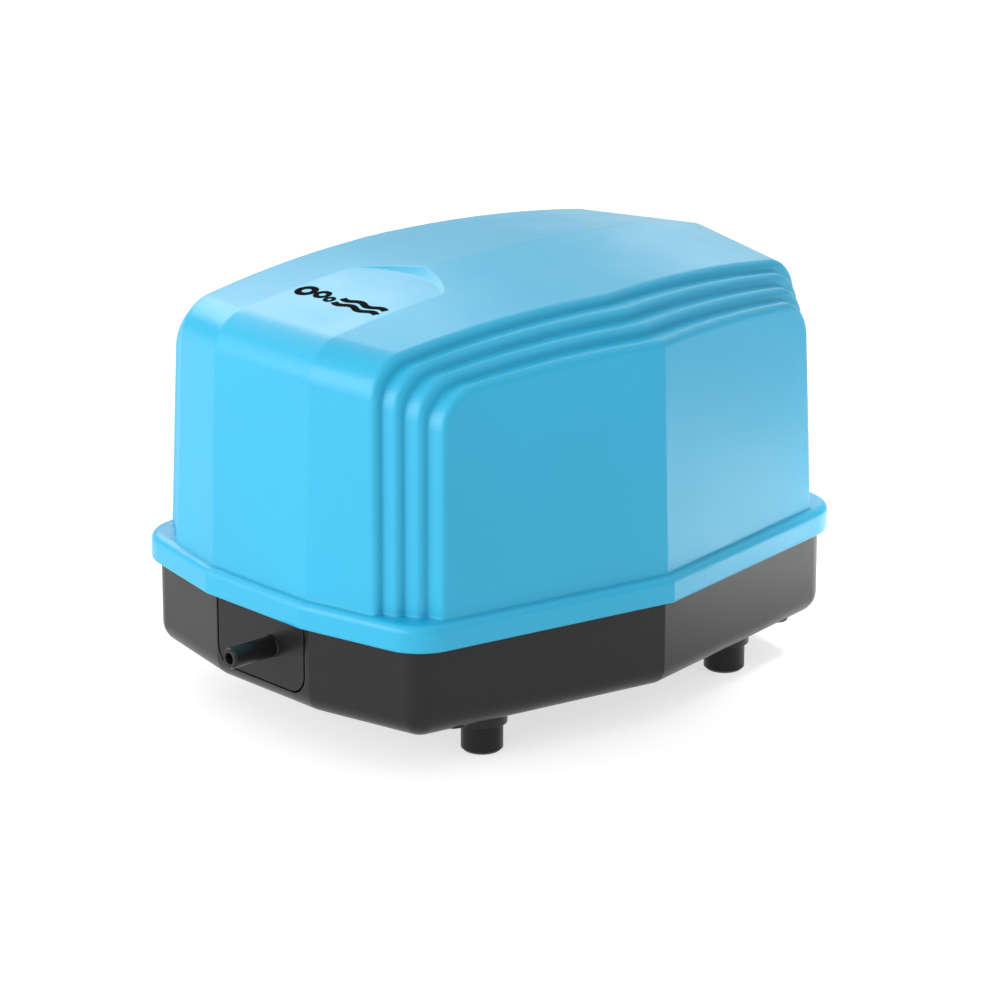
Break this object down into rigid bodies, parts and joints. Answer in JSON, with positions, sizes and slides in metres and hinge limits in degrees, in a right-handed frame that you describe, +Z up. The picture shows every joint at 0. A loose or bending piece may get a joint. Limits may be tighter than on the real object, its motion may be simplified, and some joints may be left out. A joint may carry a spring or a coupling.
{
  "type": "air pump",
  "caption": "Diaphragm air pump for ponds and aquariums: ribbed domed cover, flat tray base on rubber feet, one hose nozzle at the end.",
  "frame": {"origin": "centre of the bounding box in plan, on the plane the rubber feet stand on", "axes": "+X along the housing away from the outlet nozzle, +Y to the left when looking along +X, +Z up"},
  "size_m": [0.2498, 0.1882, 0.1585],
  "materials": {
    "cover_blue": "satin moulded",
    "tray_grey": "fine moulded grain",
    "black_plastic": "gloss moulded",
    "black_rubber": "moulded",
    "grey_rubber": "moulded",
    "zinc_steel": "zinc plated",
    "lamination": "stacked sheet, varnished",
    "winding": "enamelled copper wire",
    "magnet": "sintered, coated",
    "frame_alloy": "die cast",
    "white_plastic": "moulded",
    "head_plastic": "glass filled, moulded",
    "foam": "open cell foam",
    "lead_red": "extruded sleeve"
  },
  "bodies": {
    "base": {"base_tray": "tray_grey", "air_tank": "head_plastic", "bobbin_left": "white_plastic", "bobbin_right": "white_plastic", "coil_leads": "lead_red", "coil_left": "winding", "coil_right": "winding", "cord_grommet": "black_rubber", "core_bolts": "zinc_steel", "core_left": "lamination", "core_right": "lamination", "cover_gasket": "black_rubber", "cover_screws": "zinc_steel", "feed_hose_front": "black_rubber", "feed_hose_rear": "black_rubber", "foot_1": "black_rubber", "foot_2": "black_rubber", "foot_3": "black_rubber", "foot_4": "black_rubber", "foot_screws": "zinc_steel", "grille_screws": "zinc_steel", "head_cap_front": "head_plastic", "head_cap_rear": "head_plastic", "head_screws": "zinc_steel", "intake_foam": "foam", "intake_grille": "black_plastic", "isolator_1": "grey_rubber", "isolator_2": "grey_rubber", "isolator_3": "grey_rubber", "isolator_4": "grey_rubber", "isolator_screws": "zinc_steel", "outlet_hose": "black_rubber", "outlet_nozzle": "black_plastic", "outlet_plate": "black_plastic", "outlet_seal": "black_rubber", "pump_frame": "frame_alloy", "tank_gasket": "grey_rubber", "tank_lid": "head_plastic", "tank_screws": "zinc_steel", "terminal_block": "white_plastic", "terminal_screws": "zinc_steel", "thermal_cutout": "black_plastic", "valve_head_front": "head_plastic", "valve_head_rear": "head_plastic"},
    "cover": {"top_cover": "cover_blue"},
    "armature": {"drive_rod": "zinc_steel", "magnet_carrier": "white_plastic", "magnet_front": "magnet", "magnet_rear": "magnet", "rod_nuts": "zinc_steel", "diaphragm_front": "black_rubber", "diaphragm_rear": "black_rubber", "inner_disc_front": "frame_alloy", "inner_disc_rear": "frame_alloy", "outer_disc_front": "frame_alloy", "outer_disc_rear": "frame_alloy"},
    "inlet_flap_front": {"inlet_flap_front": "grey_rubber"},
    "inlet_flap_rear": {"inlet_flap_rear": "grey_rubber"},
    "outlet_flap_front": {"outlet_flap_front": "grey_rubber"},
    "outlet_flap_rear": {"outlet_flap_rear": "grey_rubber"}
  },
  "joints": [
    {"name": "cover_lift", "type": "slide", "parent": "base", "child": "cover", "axis": [0, 0, 1], "range_m": [0, 0.12]},
    {"name": "armature_slide", "type": "slide", "parent": "base", "child": "armature", "axis": [1, 0, 0], "range_m": [-0.0025, 0.0025], "stiffness_N_per_m": 6000, "deforming": ["diaphragm_front", "diaphragm_rear"]},
    {"name": "inlet_flap_front_slide", "type": "slide", "parent": "base", "child": "inlet_flap_front", "axis": [1, 0, 0], "range_m": [0, 0.001], "stiffness_N_per_m": 40},
    {"name": "inlet_flap_rear_slide", "type": "slide", "parent": "base", "child": "inlet_flap_rear", "axis": [-1, 0, 0], "range_m": [0, 0.001], "stiffness_N_per_m": 40},
    {"name": "outlet_flap_front_slide", "type": "slide", "parent": "base", "child": "outlet_flap_front", "axis": [-1, 0, 0], "range_m": [0, 0.001], "stiffness_N_per_m": 40},
    {"name": "outlet_flap_rear_slide", "type": "slide", "parent": "base", "child": "outlet_flap_rear", "axis": [1, 0, 0], "range_m": [0, 0.001], "stiffness_N_per_m": 40}
  ]
}
